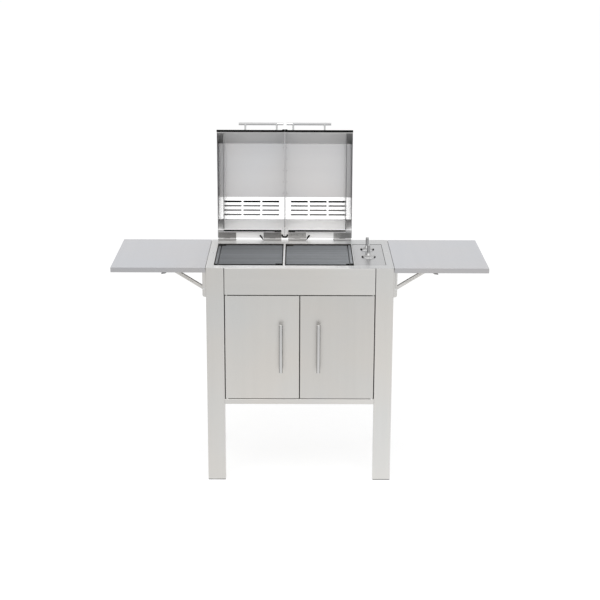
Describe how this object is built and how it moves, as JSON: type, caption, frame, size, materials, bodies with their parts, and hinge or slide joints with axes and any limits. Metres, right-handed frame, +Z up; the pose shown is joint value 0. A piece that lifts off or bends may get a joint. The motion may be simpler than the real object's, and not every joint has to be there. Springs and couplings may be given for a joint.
{
  "type": "electric grill with stand",
  "caption": "Electric grill on a steel cabinet stand, with hinged lids, lift-out cast plates, pull-out drip trays, cabinet doors and folding side shelves.",
  "frame": {"origin": "middle of the whole object's footprint, on the floor, measured with the lids open", "axes": "+Z up, the doors and knobs face -Y, +X to the right of a person who stands in front"},
  "size_m": [1.506, 0.6424, 1.3998],
  "materials": {
    "stand_steel": "satin brushed stainless steel",
    "deck_steel": "satin brushed stainless steel",
    "shelf_steel": "satin brushed stainless steel",
    "lid_steel": "fine brushed stainless steel",
    "inner_steel": "plain rolled stainless steel",
    "bright_steel": "polished stainless steel",
    "hinge_steel": "dark brushed stainless steel",
    "cast_iron": "seasoned cast iron",
    "element_sheath": "oxidised steel sheath",
    "seal_rubber": "matt black silicone",
    "black_plastic": "matt moulded plastic"
  },
  "bodies": {
    "stand": {"front_leg_left": "stand_steel", "front_leg_right": "stand_steel", "back_legs": "stand_steel", "feet": "black_plastic", "front_apron": "stand_steel", "side_panels": "stand_steel", "back_panel": "stand_steel", "cabinet_floor": "stand_steel", "deck": "deck_steel", "deck_screws": "bright_steel", "control_panel": "deck_steel", "fire_box_left": "inner_steel", "fire_box_right": "inner_steel", "element_left": "element_sheath", "element_right": "element_sheath", "element_supports": "inner_steel", "tray_runners": "inner_steel", "heat_shield": "inner_steel", "regulators": "black_plastic", "knob_rings": "black_plastic", "terminal_box": "black_plastic", "cable_gland": "black_plastic", "wiring_loom": "seal_rubber", "door_pivot_pins": "bright_steel", "door_catches": "black_plastic", "hinge_fixed_leaves": "hinge_steel", "wall_arms": "stand_steel", "bracket_pins": "bright_steel"},
    "knob_front": {"knob_front": "bright_steel", "shaft_front": "bright_steel"},
    "knob_back": {"knob_back": "bright_steel", "shaft_back": "bright_steel"},
    "lid_left": {"lid_shell_left": "lid_steel", "lid_baffle_left": "lid_steel", "lid_seals_left": "seal_rubber", "lid_handle_left": "bright_steel", "hinge_moving_leaves_left": "hinge_steel", "hinge_pins_left": "bright_steel"},
    "door_left": {"door_left": "stand_steel", "door_handle_left": "bright_steel"},
    "shelf_left": {"shelf_left": "shelf_steel", "shelf_arms_left": "stand_steel"},
    "strut_left": {"struts_left": "stand_steel"},
    "lever_left": {"release_levers_left": "hinge_steel"},
    "grill_plate_left": {"grill_plate_left": "cast_iron"},
    "drip_tray_left": {"drip_tray_left": "inner_steel"},
    "lid_right": {"lid_shell_right": "lid_steel", "lid_baffle_right": "lid_steel", "lid_seals_right": "seal_rubber", "lid_handle_right": "bright_steel", "hinge_moving_leaves_right": "hinge_steel", "hinge_pins_right": "bright_steel"},
    "door_right": {"door_right": "stand_steel", "door_handle_right": "bright_steel"},
    "shelf_right": {"shelf_right": "shelf_steel", "shelf_arms_right": "stand_steel"},
    "strut_right": {"struts_right": "stand_steel"},
    "lever_right": {"release_levers_right": "hinge_steel"},
    "grill_plate_right": {"grill_plate_right": "cast_iron"},
    "drip_tray_right": {"drip_tray_right": "inner_steel"}
  },
  "joints": [
    {"name": "knob_front_turn", "type": "hinge", "parent": "stand", "child": "knob_front", "pos_m": [0.2815, -0.09875, 0.905], "axis": [0, 0, -1], "range_deg": [0, 270]},
    {"name": "knob_back_turn", "type": "hinge", "parent": "stand", "child": "knob_back", "pos_m": [0.2815, 0.03025, 0.905], "axis": [0, 0, -1], "range_deg": [0, 270]},
    {"name": "lid_left_hinge", "type": "hinge", "parent": "stand", "child": "lid_left", "pos_m": [-0.064, 0.19175, 0.9095], "axis": [1, 0, 0], "range_deg": [0, 90]},
    {"name": "door_left_hinge", "type": "hinge", "parent": "stand", "child": "door_left", "pos_m": [-0.2935, -0.27575, 0.356], "axis": [0, 0, -1], "range_deg": [0, 105]},
    {"name": "shelf_left_fold", "type": "hinge", "parent": "stand", "child": "shelf_left", "pos_m": [-0.383, -0.03975, 0.889], "axis": [0, -1, 0], "range_deg": [0, 90]},
    {"name": "strut_left_swing", "type": "hinge", "parent": "stand", "child": "strut_left", "pos_m": [-0.383, -0.03975, 0.817], "axis": [0, -1, 0], "range_deg": [0, 122.25]},
    {"name": "lever_left_press", "type": "hinge", "parent": "shelf_left", "child": "lever_left", "pos_m": [-0.505, -0.03975, 0.8975], "axis": [0, 1, 0], "range_deg": [0, 22.1]},
    {"name": "grill_plate_left_lift", "type": "slide", "parent": "stand", "child": "grill_plate_left", "axis": [0, 0, -1], "range_m": [-0.06, 0]},
    {"name": "drip_tray_left_pull", "type": "slide", "parent": "stand", "child": "drip_tray_left", "axis": [0, 1, 0], "range_m": [0, 0.3]},
    {"name": "lid_right_hinge", "type": "hinge", "parent": "stand", "child": "lid_right", "pos_m": [-0.064, 0.19175, 0.9095], "axis": [1, 0, 0], "range_deg": [0, 90]},
    {"name": "door_right_hinge", "type": "hinge", "parent": "stand", "child": "door_right", "pos_m": [0.2935, -0.27575, 0.356], "axis": [0, 0, 1], "range_deg": [0, 105]},
    {"name": "shelf_right_fold", "type": "hinge", "parent": "stand", "child": "shelf_right", "pos_m": [0.383, -0.03975, 0.889], "axis": [0, 1, 0], "range_deg": [0, 90]},
    {"name": "strut_right_swing", "type": "hinge", "parent": "stand", "child": "strut_right", "pos_m": [0.383, -0.03975, 0.817], "axis": [0, 1, 0], "range_deg": [0, 122.25]},
    {"name": "lever_right_press", "type": "hinge", "parent": "shelf_right", "child": "lever_right", "pos_m": [0.505, -0.03975, 0.8975], "axis": [0, -1, 0], "range_deg": [0, 22.1]},
    {"name": "grill_plate_right_lift", "type": "slide", "parent": "stand", "child": "grill_plate_right", "axis": [0, 0, -1], "range_m": [-0.06, 0]},
    {"name": "drip_tray_right_pull", "type": "slide", "parent": "stand", "child": "drip_tray_right", "axis": [0, 1, 0], "range_m": [0, 0.3]}
  ],
  "couplings": [
    {"joint": "strut_left_swing", "follows": "shelf_left_fold", "ratio": 1.3561},
    {"joint": "lever_left_press", "follows": "shelf_left_fold", "ratio": 0.24444},
    {"joint": "strut_right_swing", "follows": "shelf_right_fold", "ratio": 1.3561},
    {"joint": "lever_right_press", "follows": "shelf_right_fold", "ratio": 0.24444}
  ]
}
